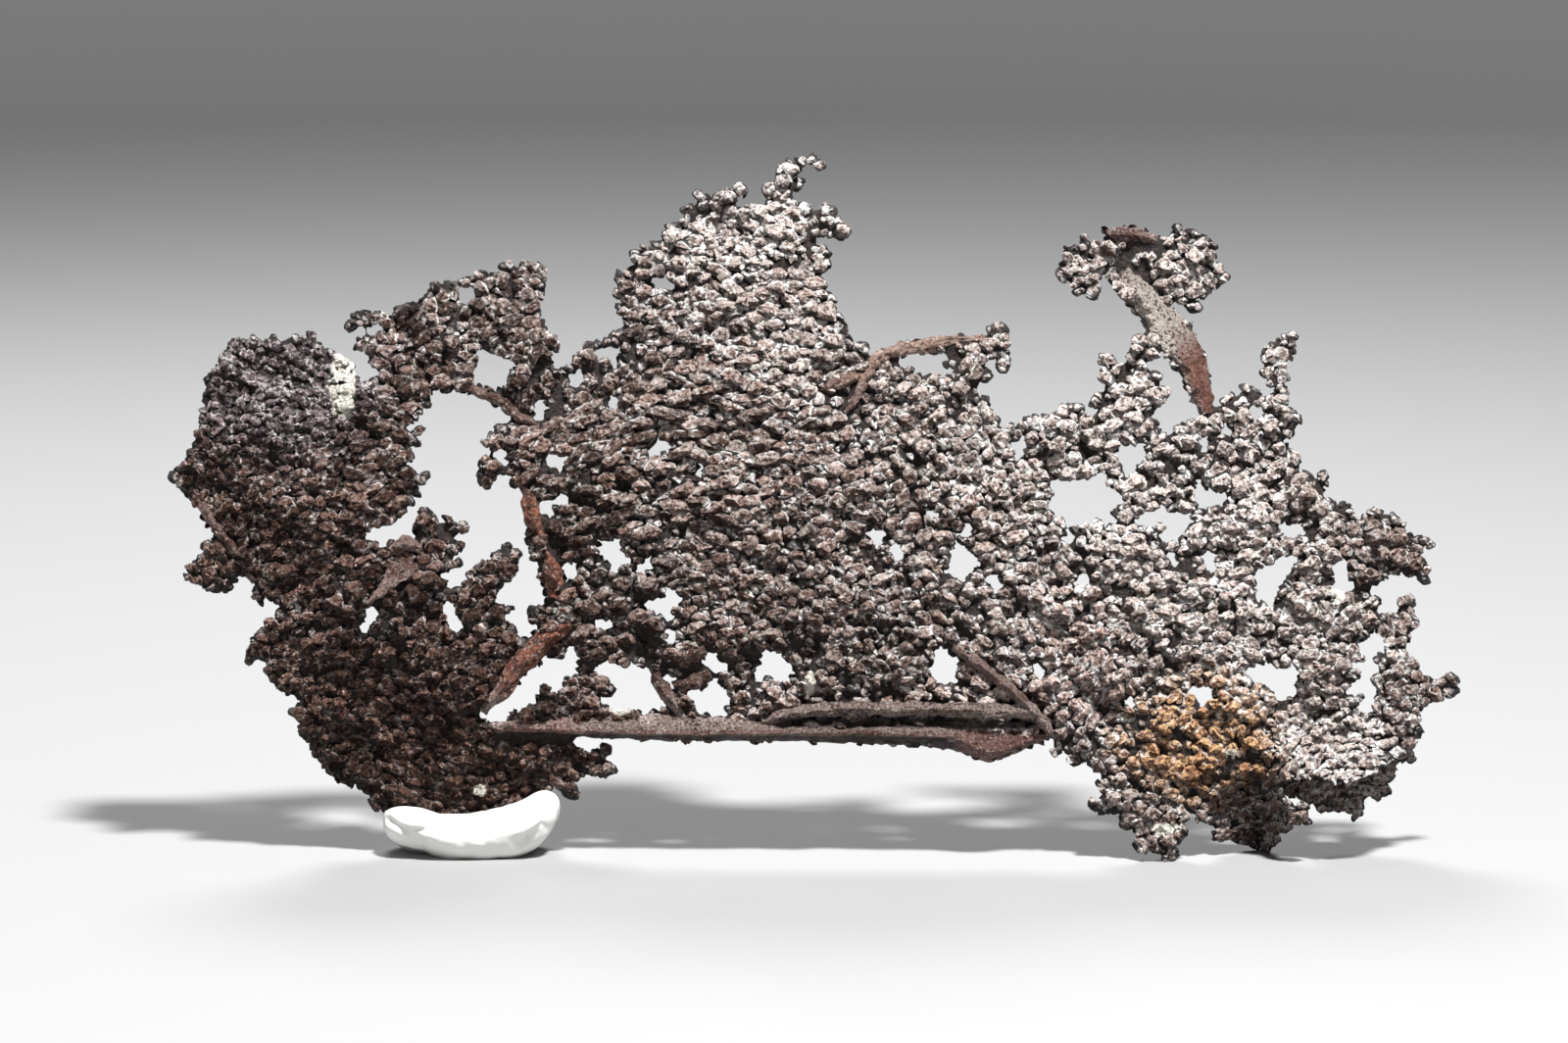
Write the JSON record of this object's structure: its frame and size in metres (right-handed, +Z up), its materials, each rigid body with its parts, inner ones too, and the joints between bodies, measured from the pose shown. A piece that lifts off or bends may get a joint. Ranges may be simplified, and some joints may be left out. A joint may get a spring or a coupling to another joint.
{
  "type": "native copper specimen",
  "caption": "Lacy upright sheet of branching native copper with many small gaps, standing on edge in a pressed lump of white mounting putty.",
  "frame": {"origin": "on the surface it stands on, below the middle of the whole specimen's box", "axes": "+X along the sheet to the right as seen from the front, +Y from front to back, through the thin way of the sheet, +Z up"},
  "size_m": [0.2636, 0.0264, 0.1431],
  "materials": {
    "native_copper": "patinated native copper, nubbly and glossy, brown-red with a pale bluish-white mineral film in its crevices",
    "white_putty": "soft matt white putty, kneaded smooth"
  },
  "bodies": {
    "root": {"copper_sheet": "native_copper", "mounting_putty": "white_putty"}
  },
  "joints": []
}
